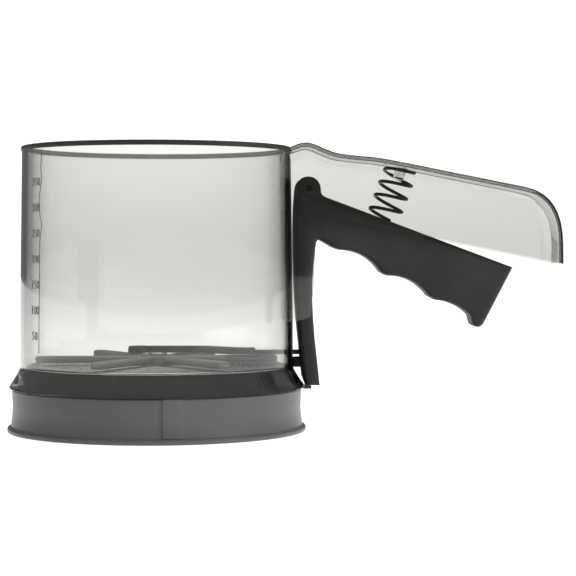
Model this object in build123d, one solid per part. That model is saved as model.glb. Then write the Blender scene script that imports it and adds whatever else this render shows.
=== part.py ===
from build123d import *
from math import asin, atan, cos, degrees, radians, sin, sqrt, tan
import os

# Hand-held flour sifter: a clear cup and handle moulded as one, a squeeze
# trigger, a link that turns a paddle agitator over a woven sieve, and a
# push-on base cap.  Millimetres.  The origin is on the cup's axis, on the
# plane that the base cap rests on.  +Z is up and +X points along the handle.

os.makedirs("parts", exist_ok=True)

# ------------------------------------------------------------ driving sizes
# Cup
CUP_TOP = 118.2  # top of the rim
CUP_FOOT_R = 57.1  # outer radius where the skirt starts
CUP_DRAFT = 1.2  # the cup's outer radius gets this much smaller up to the rim
CUP_WALL = 2.0
RIM_BEAD_OUT = 0.5  # the rim bead stands this far out of the wall
RIM_BEAD_H = 1.8
SKIRT_H = 8.3
SKIRT_FLARE = 4.4  # the flange's radius less the cup's
SKIRT_FOOT_WALL = 2.5
FLANGE_T = 1.0
TAB_REACH = 3.0  # how far the little tab under the trigger's foot stands out
TAB_W = 12.0
TAB_T = 1.2

# Base cap
CAP_H = 17.7
CAP_INSET = 1.1  # the cap's top edge is this far inside the flange's edge
CAP_WAIST = 0.35  # how far the wall draws in at its waist
CAP_FOOT_FLARE = 0.3
CAP_RIM_OUT = 1.6
CAP_RIM_T = 2.0
CAP_WALL = 1.8
CAP_FLOOR = 1.8
PANEL_COUNT = 3
PANEL_FIRST_ANGLE = -81.7
PANEL_W = 7.7
PANEL_RAISE = 0.55
CAP_GAP = 0.3  # between the cap and what it covers

# Sieve
MESH_OVER_SKIRT = 0.7  # height of the mesh above the start of the skirt
MESH_T = 0.4
MESH_GRIP = 1.7  # how far the mesh goes into its rim
RIM_SEAM_T = 0.4  # thickness of the folded rim sheet
RIM_BACK = 1.1  # metal behind the mesh's edge
RIM_SIDE_GAP = 0.5  # between the rim and the cup's wall
FRAME_LIP = 0.4  # the frame's opening is this much smaller than the rim's
FRAME_WALL = 2.2
FRAME_SKIRT_GAP = 0.9  # room that the locating ribs fill
COLLAR_DEPTH = 7.0  # how far the frame's collar goes down into the cap
LUG_COUNT = 3
LUG_FIRST_ANGLE = -38.0
LUG_RIBS = 5
LUG_RIB_PITCH = 2.4  # degrees
LUG_RIB_W = 1.1  # degrees
LUG_GAP = 0.1

# Agitator
ARM_COUNT = 6
ARM_FIRST_ANGLE = 3.8
ARM_TIP_GAP = 0.9  # between an arm's tip and the rim of the mesh
ARM_HUB_W = 3.6
ARM_TIP_W = 6.6
ARM_OVER_MESH = 1.3
ARM_T = 2.75
HUB_R = 7.4
CRANK_R = 15.0
CRANK_BOSS_R = 4.3
PEG_R = 1.8
PEG_RISE = 1.9  # how far the peg stands into the link
RIVET_R = 2.0
RIVET_HEAD_R = 4.2
RIVET_HEAD_H = 1.3
RIVET_TAIL_R = 3.2
RIVET_TAIL_H = 0.9
WASHER_R = 6.0
WASHER_T = 0.6
RUN_GAP = 0.05  # radial clearance of each running fit
END_GAP = 0.1  # axial clearance at the hub

# Link
LINK_OVER_ARMS = 0.45  # height of the link's underside above the arms
LINK_T = 2.8
LINK_W = 4.8
LINK_ROOF = 0.7  # what is left above the peg's blind slot
TONGUE_T = 1.8
TONGUE_W = 5.0
BEND_CLEAR = 5.4  # from the pulled link's bend to the cup's wall
BEND_RUN = 15.0  # length along X of the slanted part of the link
EYE_R = 1.8
LINK_PIN_R = 1.0
LINK_PIN_HALF = 6.2
SLOT_GAP = 0.3
PIN_SLOT_GAP = 0.2  # each side of the link pin in the trigger's slot
YOKE_WALL = 1.3

# Trigger: places are measured from the pivot, along X and up Z
PIVOT_OUT = 5.9  # from the cup's foot radius out to the pivot
PIVOT_DROP = 17.6  # from the rim down to the pivot
PIVOT_PIN_R = 1.5
HEAD_R = 5.3
HEAD_DROP = 2.6  # from the pivot down to the start of the grip's top
TRIGGER_W = 18.0
GRIP_END_TOP = (85.6, -32.6)
GRIP_CUSPS = [(11.8, -25.3), (31.3, -36.1), (51.6, -46.1), (72.2, -58.4)]
GROOVE_DEPTH = 3.4
TRIGGER_CUP_GAP = 0.4
STOP_DROP = 2.1  # from the link's middle down to the stop block
STOP_H = 4.0
STOP_W = 8.0
TRIGGER_EDGE = 1.4  # rounding of the trigger's long edges
FORK_GAP = 0.4

# Handle: places are measured from the pivot too
HANDLE_SIDE_GAP = 2.6  # between the trigger and each side wall
HANDLE_WALL = 1.9
HANDLE_EDGE = 4.6  # rounding of the handle's top edges
HANDLE_REACH = 106.8
HANDLE_HUMP = [(-13.0, 15.0), (-5.4, 18.3), (-1.5, 19.4), (5.0, 17.5), (12.6, 14.8), (21.0, 13.9)]
HANDLE_BACK = [(32.6, 12.8), (90.0, 1.15)]  # the straight part of the back
HANDLE_END_LOW = -31.2
HANDLE_LOW_START = (7.0, -11.0)
STRIP_TOP = (2.9, -17.6)
STRIP_END_OUT = 1.4
STRIP_SHARE = 0.381  # where the strip ends, as a share of the trigger's arm
PIVOT_SIDE_GAP = 0.3

# Return spring
SPRING_R = 6.6  # to the middle of the wire
WIRE_R = 0.65
SPRING_PITCH = 6.5
SPRING_REACH = 28.1  # from the head, along the grip, to the spring's axis
SPRING_END_GAP = 0.25
SEAT_BOSS_R = 3.1
SEAT_BOSS_DROP = 6.2

# ------------------------------------------------------------ derived sizes
CUP_RIM_R = CUP_FOOT_R - CUP_DRAFT
FLANGE_R = CUP_FOOT_R + SKIRT_FLARE
SKIRT_INNER_R = FLANGE_R - SKIRT_FOOT_WALL
CUP_BOTTOM = CAP_H + CAP_GAP
FLANGE_TOP = CUP_BOTTOM + FLANGE_T
SKIRT_TOP = CUP_BOTTOM + SKIRT_H
TAB_TOP = CUP_BOTTOM + 0.4 * FLANGE_T
CAP_TOP_R = FLANGE_R - CAP_INSET
CAP_WAIST_R = CAP_TOP_R - CAP_WAIST
CAP_WAIST_Z = 0.55 * CAP_H
CAP_FOOT_R = CAP_TOP_R + CAP_FOOT_FLARE
CAP_RIM_R = CAP_FOOT_R + CAP_RIM_OUT
CAP_INNER_R = CAP_TOP_R - CAP_WALL
COLLAR_R = CAP_INNER_R - CAP_GAP
COLLAR_BOTTOM = CUP_BOTTOM - COLLAR_DEPTH
MESH_TOP = SKIRT_TOP + MESH_OVER_SKIRT
RIM_OUTER_R = CUP_FOOT_R - CUP_WALL - RIM_SIDE_GAP
MESH_OPEN_R = RIM_OUTER_R - RIM_BACK - MESH_GRIP
FRAME_INNER_R = MESH_OPEN_R - FRAME_LIP
FRAME_TOP = MESH_TOP - MESH_T - RIM_SEAM_T
ARM_TIP_R = MESH_OPEN_R - ARM_TIP_GAP
ARM_BOTTOM = MESH_TOP + ARM_OVER_MESH
ARM_TOP = ARM_BOTTOM + ARM_T
HUB_BOTTOM = MESH_TOP + WASHER_T + END_GAP
RIVET_SEAT = ARM_TOP + END_GAP
LOWER_WASHER_BOTTOM = MESH_TOP - MESH_T - WASHER_T
CRANK_ANGLE = ARM_FIRST_ANGLE + 2 * 360 / ARM_COUNT
CRANK_X = CRANK_R * cos(radians(CRANK_ANGLE))
CRANK_Y = CRANK_R * sin(radians(CRANK_ANGLE))
LINK_STROKE = -2 * CRANK_X
YOKE_Y = (CRANK_Y + CRANK_R) / 2
YOKE_HALF_X = PEG_R + SLOT_GAP
YOKE_HALF_Y = (CRANK_R - CRANK_Y) / 2 + PEG_R + SLOT_GAP
YOKE_R = YOKE_HALF_Y + YOKE_WALL
LINK_BOTTOM = ARM_TOP + LINK_OVER_ARMS
LINK_TOP = LINK_BOTTOM + LINK_T
TONGUE_MID = LINK_BOTTOM + TONGUE_T / 2
TONGUE_START = CUP_FOOT_R - CUP_WALL - LINK_STROKE - BEND_CLEAR
BAR_END = TONGUE_START - BEND_RUN
PIVOT_X = CUP_FOOT_R + PIVOT_OUT
PIVOT_Z = CUP_TOP - PIVOT_DROP
LINK_PIN_DROP = PIVOT_Z - TONGUE_MID
SQUEEZE = degrees(atan(LINK_STROKE / LINK_PIN_DROP))
PIN_CREEP = LINK_PIN_DROP * (1 / cos(radians(SQUEEZE)) - 1)
FOOT_BOTTOM = TAB_TOP + TRIGGER_CUP_GAP
STOP_TOP = TONGUE_MID - STOP_DROP
HANDLE_W = TRIGGER_W + 2 * (HANDLE_SIDE_GAP + HANDLE_WALL)
HANDLE_INNER_HALF = HANDLE_W / 2 - HANDLE_WALL
HANDLE_END_X = PIVOT_X + HANDLE_REACH
HANDLE_END_BOTTOM = PIVOT_Z + HANDLE_END_LOW
GRIP_SLOPE = atan((-HEAD_DROP - GRIP_END_TOP[1]) / (GRIP_END_TOP[0] - HEAD_R))
BACK_SLOPE = atan(
    (HANDLE_BACK[0][1] - HANDLE_BACK[1][1]) / (HANDLE_BACK[1][0] - HANDLE_BACK[0][0])
)


# ------------------------------------------------------------ small helpers
def ring(points):
    """Solid of revolution from a closed outline of (radius, height) points."""
    return revolve(make_face(Plane.XZ * Polyline(*points, close=True)), Axis.Z)


def disc(radius, bottom, top):
    """Upright cylinder on the Z axis between two heights."""
    return Pos(0, 0, bottom) * Cylinder(
        radius, top - bottom, align=(Align.CENTER, Align.CENTER, Align.MIN)
    )


def block(low, high):
    """Box between two corners."""
    size = [b - a for a, b in zip(low, high)]
    middle = [(a + b) / 2 for a, b in zip(low, high)]
    return Pos(*middle) * Box(*size)


def cross_pin(radius, half_length, x, z):
    """Cylinder along Y, centred on the XZ plane."""
    return Pos(x, 0, z) * Rot(90, 0, 0) * Cylinder(radius, 2 * half_length)


def side_plate(outline, half_width):
    """Outline in X and Z, given as a face on the XZ plane, made a plate about Y = 0."""
    return extrude(outline, half_width, both=True)


def near(point):
    """Key that sorts corners of an XZ outline by their distance from a point."""
    return lambda corner: (corner.X - point[0]) ** 2 + (corner.Z - point[1]) ** 2


def from_pivot(out, up):
    """Point of the side view, given by its distance from the pivot."""
    return (PIVOT_X + out, PIVOT_Z + up)


def arm_height(share):
    """Height on the trigger's arm, from 0 at its foot to 1 at the pivot."""
    return FOOT_BOTTOM + share * (PIVOT_Z - FOOT_BOTTOM)


def rounded(face, corners, radius):
    """Rounds the corners of an XZ outline that lie at the given points."""
    picked = [face.vertices().sort_by(near(point))[0] for point in corners]
    return fillet(picked, radius)


# ------------------------------------------------------------ cup
def cup_outer_points(gap):
    """Outside of the cup from flange to rim, grown outwards by a gap."""
    return [
        (FLANGE_R + gap, CUP_BOTTOM),
        (FLANGE_R + gap, FLANGE_TOP + gap),
        (CUP_FOOT_R + gap, SKIRT_TOP + gap / 2),
        (CUP_RIM_R + gap, CUP_TOP - RIM_BEAD_H - RIM_BEAD_OUT),
        (CUP_RIM_R + RIM_BEAD_OUT + gap, CUP_TOP - RIM_BEAD_H),
        (CUP_RIM_R + RIM_BEAD_OUT + gap, CUP_TOP),
    ]


def cup_keep_out(gap):
    """Everything inside the cup's outer surface, grown by a gap."""
    return ring([(0, CUP_BOTTOM)] + cup_outer_points(gap) + [(0, CUP_TOP)])


def skirt_inner_r(height):
    """Inner radius of the skirt at a height."""
    rise = (height - CUP_BOTTOM) / (SKIRT_TOP - CUP_BOTTOM)
    return SKIRT_INNER_R + (CUP_FOOT_R - CUP_WALL - SKIRT_INNER_R) * min(rise, 1)


def make_cup():
    inner = [
        (CUP_RIM_R - CUP_WALL, CUP_TOP),
        (CUP_FOOT_R - CUP_WALL, SKIRT_TOP),
        (SKIRT_INNER_R, CUP_BOTTOM),
    ]
    face = make_face(Plane.XZ * Polyline(*cup_outer_points(0), *inner, close=True))
    face = rounded(face, [(CUP_FOOT_R, SKIRT_TOP)], 5.0)
    face = rounded(face, [(CUP_FOOT_R - CUP_WALL, SKIRT_TOP)], 3.0)
    rim = [(CUP_RIM_R + RIM_BEAD_OUT, CUP_TOP), (CUP_RIM_R - CUP_WALL, CUP_TOP)]
    face = rounded(face, rim, 0.45 * RIM_BEAD_H)
    face = rounded(face, [(FLANGE_R, FLANGE_TOP)], 0.4 * FLANGE_T)
    body = revolve(face, Axis.Z)
    slot_half = TONGUE_W / 2 + FORK_GAP
    slot_low = TONGUE_MID - EYE_R - FORK_GAP
    slot_high = max(TONGUE_MID + EYE_R, LINK_BOTTOM + TONGUE_T) + FORK_GAP
    body -= block(
        (CUP_FOOT_R - 4 * CUP_WALL, -slot_half, slot_low),
        (CUP_FOOT_R + CUP_WALL, slot_half, slot_high),
    )
    tab = block(
        (CAP_TOP_R + 1.5 * CAP_GAP, -TAB_W / 2, TAB_TOP - TAB_T),
        (FLANGE_R + TAB_REACH, TAB_W / 2, TAB_TOP),
    )
    tab = fillet(tab.edges().filter_by(Axis.Z).group_by(Axis.X)[-1], 2.0)
    tab -= disc(CAP_TOP_R + CAP_GAP, 0, CUP_BOTTOM)
    return body + tab


# ------------------------------------------------------------ handle
def handle_side(inset):
    """Side view of the handle; an inset moves its back down and its end in."""
    drop = inset / cos(BACK_SLOPE)
    slope = (cos(BACK_SLOPE), -sin(BACK_SLOPE))
    knots = [from_pivot(x, z - drop) for x, z in HANDLE_HUMP + HANDLE_BACK[:1]]
    back = Spline(*knots, tangents=[(1, 0.35), slope])
    top_end = from_pivot(HANDLE_BACK[1][0], HANDLE_BACK[1][1] - drop)
    end_x = HANDLE_END_X - inset
    shoulder = (end_x - 0.4, top_end[1] - 19.0 + inset)
    straight = Line(knots[-1], top_end)
    round_end = Spline(top_end, shoulder, tangents=[slope, (0.06, -1)])
    if inset == 0:
        low_points = [
            (end_x, HANDLE_END_BOTTOM),
            from_pivot(*HANDLE_LOW_START),
            from_pivot(*STRIP_TOP),
            strip_end(),
            (knots[0][0], strip_end()[1] - 5.0),
        ]
    else:
        low_points = [(end_x, FOOT_BOTTOM), (knots[0][0], FOOT_BOTTOM)]
    end = Line(shoulder, low_points[0])
    under = Polyline(*low_points, knots[0])
    return make_face(Plane.XZ * (Curve() + [back, straight, round_end, end, under]))


def strip_end():
    """Lower outer corner of the strip that runs down beside the cup."""
    return (PIVOT_X + STRIP_END_OUT, arm_height(STRIP_SHARE))


def make_handle_shell():
    face = handle_side(0)
    face = rounded(face, [from_pivot(*HANDLE_LOW_START), from_pivot(*STRIP_TOP)], 2.6)
    face = rounded(face, [strip_end()], 3.0)
    face = rounded(face, [(HANDLE_END_X, HANDLE_END_BOTTOM)], 1.5)
    outer = side_plate(face, HANDLE_W / 2)
    outer = soften_back(outer, HANDLE_W / 2, HANDLE_EDGE)
    cavity = side_plate(handle_side(HANDLE_WALL), HANDLE_INNER_HALF)
    cavity = soften_back(cavity, HANDLE_INNER_HALF, HANDLE_EDGE - HANDLE_WALL)
    shell = outer - cavity
    shell += seat_boss() & outer
    shell -= cross_pin(PIVOT_PIN_R, HANDLE_W, PIVOT_X, PIVOT_Z)
    return shell - cup_keep_out(0)


def soften_back(plate, half_width, radius):
    """Rounds the long edges along the handle's back and down its end."""
    long_edges = []
    for edge in plate.edges():
        middle = edge.position_at(0.5)
        on_side = abs(abs(middle.Y) - half_width) < 0.01
        on_back = middle.Z > PIVOT_Z - HEAD_R and middle.X > PIVOT_X - 2 * HEAD_R
        on_end = middle.X > HANDLE_END_X - 12 and middle.Z > HANDLE_END_BOTTOM - 9
        if on_side and (on_back or on_end) and abs(edge.tangent_at(0.5).Y) < 0.5:
            long_edges.append(edge)
    return fillet(long_edges, radius)


# ------------------------------------------------------------ return spring
def spring_plane(lift):
    """Plane square to the spring, at a height above the grip's top."""
    along = (cos(GRIP_SLOPE), -sin(GRIP_SLOPE))
    up = (sin(GRIP_SLOPE), cos(GRIP_SLOPE))
    x = PIVOT_X + HEAD_R + SPRING_REACH * along[0] + lift * up[0]
    z = PIVOT_Z - HEAD_DROP + SPRING_REACH * along[1] + lift * up[1]
    return Plane(origin=(x, 0, z), x_dir=(-along[0], 0, -along[1]), z_dir=(up[0], 0, up[1]))


def seat_height():
    """Distance along the spring's axis from the grip to the handle's back."""
    foot = spring_plane(0).origin
    start = from_pivot(*HANDLE_BACK[0])
    drop = HANDLE_WALL / cos(BACK_SLOPE)
    back = start[1] - drop - (foot.X - start[0]) * tan(BACK_SLOPE)
    return (back - foot.Z) / (cos(GRIP_SLOPE) + sin(GRIP_SLOPE) * tan(BACK_SLOPE))


def seat_boss():
    """Round boss under the handle's back that keeps the spring's top in place."""
    base = spring_plane(seat_height() - SEAT_BOSS_DROP)
    return base * Cylinder(
        SEAT_BOSS_R,
        SEAT_BOSS_DROP + HANDLE_WALL / 2,
        align=(Align.CENTER, Align.CENTER, Align.MIN),
    )


def make_return_spring():
    tilt = GRIP_SLOPE - BACK_SLOPE
    lean = (SPRING_R + WIRE_R) * tan(tilt)
    start = WIRE_R + SPRING_END_GAP
    height = seat_height() - lean - 2 * start
    path = spring_plane(start) * Helix(SPRING_PITCH, height, SPRING_R)
    section = Plane(origin=path @ 0, z_dir=path % 0) * Circle(WIRE_R)
    return sweep(section, path, is_frenet=True)


# ------------------------------------------------------------ trigger
def groove(start, end):
    """Finger groove: an arc between two cusps, sunk into the grip."""
    across = sqrt((end[0] - start[0]) ** 2 + (end[1] - start[1]) ** 2)
    inward = (-(end[1] - start[1]) / across, (end[0] - start[0]) / across)
    middle = (
        (start[0] + end[0]) / 2 + GROOVE_DEPTH * inward[0],
        (start[1] + end[1]) / 2 + GROOVE_DEPTH * inward[1],
    )
    return ThreePointArc(start, middle, end)


def trigger_side():
    """Side view of the trigger: head, upright arm with its foot, and grip."""
    left = PIVOT_X - HEAD_R
    arm_inner = [
        (left, PIVOT_Z),
        (left - 0.6, arm_height(0.944)),
        (left - 0.8, arm_height(0.748)),
        (left - 0.4, arm_height(0.43)),
        (left + 1.6, arm_height(0.186)),
        (left + 3.2, FOOT_BOTTOM),
    ]
    cusps = [from_pivot(x, z) for x, z in GRIP_CUSPS]
    grip_end = from_pivot(*GRIP_END_TOP)
    head_side = from_pivot(HEAD_R, -HEAD_DROP)
    arm_outer = [
        (PIVOT_X + 4.7, FOOT_BOTTOM + 0.5),
        (PIVOT_X + 2.4, arm_height(0.284)),
        (PIVOT_X + 1.6, arm_height(0.455)),
        from_pivot(3.2, -20.0),
        cusps[0],
    ]
    head = ThreePointArc((left, PIVOT_Z), from_pivot(0, HEAD_R), from_pivot(HEAD_R, 0))
    crown = Polyline(from_pivot(HEAD_R, 0), head_side, grip_end, cusps[-1])
    grooves = [groove(a, b) for a, b in zip(cusps, cusps[1:])]
    arm = Polyline(*arm_inner, *arm_outer)
    face = make_face(Plane.XZ * (Curve() + [head, crown, *grooves, arm]))
    face = rounded(face, cusps[1:3], 2.4)
    face = rounded(face, cusps[:1], 4.0)
    face = rounded(face, cusps[-1:], 2.4)
    face = rounded(face, [grip_end, head_side], 1.6)
    face = rounded(face, [arm_outer[3]], 2.0)
    face = rounded(face, [arm_outer[0], arm_inner[-1]], 1.5)
    return rounded(face, [arm_outer[1], arm_outer[2], arm_inner[3], arm_inner[4]], 12.0)


def make_trigger_lever():
    half = TRIGGER_W / 2
    lever = side_plate(trigger_side(), half)
    rims = [e for e in lever.edges() if abs(abs(e.position_at(0.5).Y) - half) < 0.01]
    lever = fillet(rims, TRIGGER_EDGE)
    lever += block(
        (PIVOT_X - PIVOT_OUT, -STOP_W / 2, STOP_TOP - STOP_H), (PIVOT_X, STOP_W / 2, STOP_TOP)
    )
    lever += cross_pin(HEAD_R - 0.4, HANDLE_INNER_HALF - PIVOT_SIDE_GAP, PIVOT_X, PIVOT_Z)
    lever -= cross_pin(PIVOT_PIN_R + RUN_GAP, HANDLE_W, PIVOT_X, PIVOT_Z)
    fork_half = TONGUE_W / 2 + FORK_GAP
    fork_right = PIVOT_X + EYE_R + FORK_GAP
    fork_low = TONGUE_MID - PIN_CREEP - EYE_R - 2 * FORK_GAP
    fork_high = TONGUE_MID + EYE_R + 1.5 * FORK_GAP
    fork_left = PIVOT_X - 1.5 * PIVOT_OUT
    lever -= block((fork_left, -fork_half, fork_low), (fork_right, fork_half, fork_high))
    pin_room = LINK_PIN_R + PIN_SLOT_GAP
    pin_half = LINK_PIN_HALF + SLOT_GAP
    lever -= block(
        (PIVOT_X - pin_room, -pin_half, TONGUE_MID - PIN_CREEP - pin_room),
        (PIVOT_X + pin_room, pin_half, TONGUE_MID + pin_room),
    )
    return lever - cup_keep_out(TRIGGER_CUP_GAP)


def make_pivot_pin():
    return cross_pin(PIVOT_PIN_R, HANDLE_W / 2, PIVOT_X, PIVOT_Z)


# ------------------------------------------------------------ link
def make_drive_link():
    half_bar = LINK_W / 2
    half_tongue = TONGUE_W / 2
    plan = make_face(
        Polyline(
            (CRANK_X, YOKE_Y - half_bar),
            (BAR_END - half_bar, YOKE_Y - half_bar),
            (TONGUE_START - half_bar, -half_tongue),
            (PIVOT_X - EYE_R, -half_tongue),
            (PIVOT_X - EYE_R, half_tongue),
            (TONGUE_START + half_bar, half_tongue),
            (BAR_END + half_bar, YOKE_Y + half_bar),
            (CRANK_X, YOKE_Y + half_bar),
            close=True,
        )
    )
    bends = [v for v in plan.vertices() if BAR_END - 5 < v.X < TONGUE_START + 5]
    plan = fillet(bends, 4.0)
    slab = extrude(Pos(0, 0, LINK_BOTTOM) * plan, LINK_T)
    slab = fillet(slab.edges().group_by(Axis.Z)[-1], 0.7)
    yoke = Pos(CRANK_X, YOKE_Y, 0) * disc(YOKE_R, LINK_BOTTOM, LINK_TOP)
    yoke = fillet(yoke.edges().group_by(Axis.Z)[-1], 0.9)
    link = slab + yoke
    link -= block(
        (TONGUE_START + 8, -LINK_W, LINK_BOTTOM + TONGUE_T),
        (PIVOT_X + PIVOT_OUT, LINK_W, LINK_TOP + 1),
    )
    link += cross_pin(EYE_R, half_tongue, PIVOT_X, TONGUE_MID)
    link += block(
        (PIVOT_X - 2 * EYE_R, -half_tongue, LINK_BOTTOM),
        (PIVOT_X, half_tongue, LINK_BOTTOM + TONGUE_T),
    )
    slot_centres = YOKE_HALF_Y - YOKE_HALF_X
    slot_depth = LINK_T - LINK_ROOF
    slot = block(
        (CRANK_X - YOKE_HALF_X, YOKE_Y - slot_centres, LINK_BOTTOM),
        (CRANK_X + YOKE_HALF_X, YOKE_Y + slot_centres, LINK_BOTTOM + slot_depth),
    )
    for end in (-slot_centres, slot_centres):
        slot += Pos(CRANK_X, YOKE_Y + end, 0) * disc(
            YOKE_HALF_X, LINK_BOTTOM, LINK_BOTTOM + slot_depth
        )
    return link - slot - cross_pin(LINK_PIN_R, LINK_W, PIVOT_X, TONGUE_MID)


def make_link_pin():
    return cross_pin(LINK_PIN_R, LINK_PIN_HALF, PIVOT_X, TONGUE_MID)


# ------------------------------------------------------------ agitator
def paddle_arm():
    """One arm along +X: narrow at the hub, wider at its rounded tip."""
    tip_x = ARM_TIP_R - ARM_TIP_W / 2
    plan = make_face(
        Polyline(
            (0, -ARM_HUB_W / 2),
            (tip_x, -ARM_TIP_W / 2),
            (tip_x, ARM_TIP_W / 2),
            (0, ARM_HUB_W / 2),
            close=True,
        )
    )
    plan += Pos(tip_x, 0) * Circle(ARM_TIP_W / 2)
    arm = extrude(Pos(0, 0, ARM_BOTTOM) * plan, ARM_TOP - ARM_BOTTOM)
    arm = fillet(arm.edges().group_by(Axis.Z)[-1], 0.8)
    return arm


def make_agitator():
    agitator = disc(HUB_R, HUB_BOTTOM, ARM_TOP)
    arm = paddle_arm()
    for step in range(ARM_COUNT):
        agitator += Rot(0, 0, ARM_FIRST_ANGLE + step * 360 / ARM_COUNT) * arm
    agitator += Pos(CRANK_X, CRANK_Y, 0) * disc(CRANK_BOSS_R, ARM_BOTTOM, ARM_TOP)
    agitator += Pos(CRANK_X, CRANK_Y, 0) * disc(PEG_R, ARM_BOTTOM, LINK_BOTTOM + PEG_RISE)
    return agitator - disc(RIVET_R + RUN_GAP, 0, CUP_TOP)


def make_agitator_rivet():
    rivet = disc(RIVET_R, LOWER_WASHER_BOTTOM - RIVET_TAIL_H, RIVET_SEAT)
    head = disc(RIVET_HEAD_R, RIVET_SEAT, RIVET_SEAT + RIVET_HEAD_H)
    head = fillet(head.edges().group_by(Axis.Z)[-1], 0.8 * RIVET_HEAD_H)
    tail = disc(RIVET_TAIL_R, LOWER_WASHER_BOTTOM - RIVET_TAIL_H, LOWER_WASHER_BOTTOM)
    tail = fillet(tail.edges().group_by(Axis.Z)[0], 0.6 * RIVET_TAIL_H)
    return rivet + head + tail


def make_washer(bottom):
    return disc(WASHER_R, bottom, bottom + WASHER_T) - disc(RIVET_R, bottom, bottom + WASHER_T)


# ------------------------------------------------------------ sieve
def make_sieve_mesh():
    sheet = disc(MESH_OPEN_R + MESH_GRIP, MESH_TOP - MESH_T, MESH_TOP)
    return sheet - disc(RIVET_R, MESH_TOP - MESH_T, MESH_TOP)


def make_mesh_rim():
    low = MESH_TOP - MESH_T - RIM_SEAM_T
    high = MESH_TOP + RIM_SEAM_T
    folded = disc(RIM_OUTER_R, low, high) - disc(MESH_OPEN_R, low, high)
    return folded - disc(MESH_OPEN_R + MESH_GRIP, MESH_TOP - MESH_T, MESH_TOP)


def frame_outer_r(height):
    return skirt_inner_r(height) - FRAME_SKIRT_GAP


def make_sieve_frame():
    shoulder = FRAME_TOP - FRAME_WALL
    frame = ring(
        [
            (FRAME_INNER_R, FRAME_TOP),
            (frame_outer_r(FRAME_TOP), FRAME_TOP),
            (min(frame_outer_r(CUP_BOTTOM), COLLAR_R), CUP_BOTTOM),
            (COLLAR_R, CUP_BOTTOM - CAP_GAP),
            (COLLAR_R, COLLAR_BOTTOM),
            (COLLAR_R - FRAME_WALL, COLLAR_BOTTOM),
            (COLLAR_R - FRAME_WALL, CUP_BOTTOM + 1),
            (FRAME_INNER_R, shoulder),
        ]
    )
    low = FLANGE_TOP + 0.4
    high = FRAME_TOP - 0.8
    rib_points = [
        (frame_outer_r(low) - 0.5, low),
        (skirt_inner_r(low) - LUG_GAP, low),
        (skirt_inner_r(high) - LUG_GAP, high),
        (frame_outer_r(high) - 0.5, high),
    ]
    rib = revolve(make_face(Plane.XZ * Polyline(*rib_points, close=True)), Axis.Z, LUG_RIB_W)
    for lug in range(LUG_COUNT):
        for step in range(LUG_RIBS):
            turn = LUG_FIRST_ANGLE + lug * 360 / LUG_COUNT
            turn += (step - (LUG_RIBS - 1) / 2) * LUG_RIB_PITCH - LUG_RIB_W / 2
            frame += Rot(0, 0, turn) * rib
    return frame


# ------------------------------------------------------------ base cap
def make_base_cap():
    wall = ThreePointArc(
        (CAP_FOOT_R, CAP_RIM_T), (CAP_WAIST_R, CAP_WAIST_Z), (CAP_TOP_R, CAP_H)
    )
    rest = Polyline(
        (CAP_TOP_R, CAP_H),
        (CAP_INNER_R, CAP_H),
        (CAP_INNER_R, CAP_FLOOR),
        (0, CAP_FLOOR),
        (0, 0),
        (CAP_RIM_R, 0),
        (CAP_RIM_R, CAP_RIM_T),
        (CAP_FOOT_R, CAP_RIM_T),
    )
    face = make_face(Plane.XZ * (Curve() + [wall, rest]))
    face = rounded(face, [(CAP_RIM_R, 0), (CAP_RIM_R, CAP_RIM_T)], 0.45 * CAP_RIM_T)
    face = rounded(face, [(CAP_TOP_R, CAP_H)], 0.4)
    face = rounded(face, [(CAP_INNER_R, CAP_FLOOR)], 1.5)
    cap = revolve(face, Axis.Z)
    panel_arc = degrees(2 * asin(PANEL_W / 2 / CAP_TOP_R))
    panel_points = [
        (CAP_WAIST_R - CAP_WALL / 3, CAP_RIM_T / 2),
        (CAP_FOOT_R + PANEL_RAISE, CAP_RIM_T / 2),
        (CAP_WAIST_R + PANEL_RAISE, CAP_WAIST_Z),
        (CAP_TOP_R + PANEL_RAISE, CAP_H),
        (CAP_WAIST_R - CAP_WALL / 3, CAP_H),
    ]
    outline = make_face(Plane.XZ * Polyline(*panel_points, close=True))
    panel = revolve(outline, Axis.Z, panel_arc)
    for step in range(PANEL_COUNT):
        turn = PANEL_FIRST_ANGLE + step * 360 / PANEL_COUNT - panel_arc / 2
        cap += Rot(0, 0, turn) * panel
    return cap


# ------------------------------------------------------------ write each piece
PIECES = {
    "cup": make_cup,
    "handle_shell": make_handle_shell,
    "pivot_pin": make_pivot_pin,
    "return_spring": make_return_spring,
    "trigger_lever": make_trigger_lever,
    "drive_link": make_drive_link,
    "link_pin": make_link_pin,
    "agitator": make_agitator,
    "agitator_rivet": make_agitator_rivet,
    "upper_washer": lambda: make_washer(MESH_TOP),
    "lower_washer": lambda: make_washer(LOWER_WASHER_BOTTOM),
    "sieve_mesh": make_sieve_mesh,
    "mesh_rim": make_mesh_rim,
    "sieve_frame": make_sieve_frame,
    "base_cap": make_base_cap,
}

for name, make in PIECES.items():
    piece = make()
    export_step(piece, f"parts/{name}.step")
    print(name, round(piece.volume), "mm3")

print("squeeze", round(SQUEEZE, 3), "degrees, stroke", round(LINK_STROKE, 3), "mm")
print("link ratio", round(LINK_STROKE / 1000 / radians(SQUEEZE), 6), "m per radian")
print("agitator turns", round(2 * (CRANK_ANGLE - 90), 2), "degrees")
print("spring seat height", round(seat_height(), 2), spring_plane(0).origin)
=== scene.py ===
# %% [markdown]
# # A hand flour sifter
# The CAD model is already measured, jointed and packed. This lesson leaves it as a fixed frame and
# builds the looks around it: a smoky clear cup, a woven sieve, paddles, a coil spring, a grey cap.
# Every size is in millimetres and is turned into metres by MM, because Blender works in metres.

# %% Load the frame
import math

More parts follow.
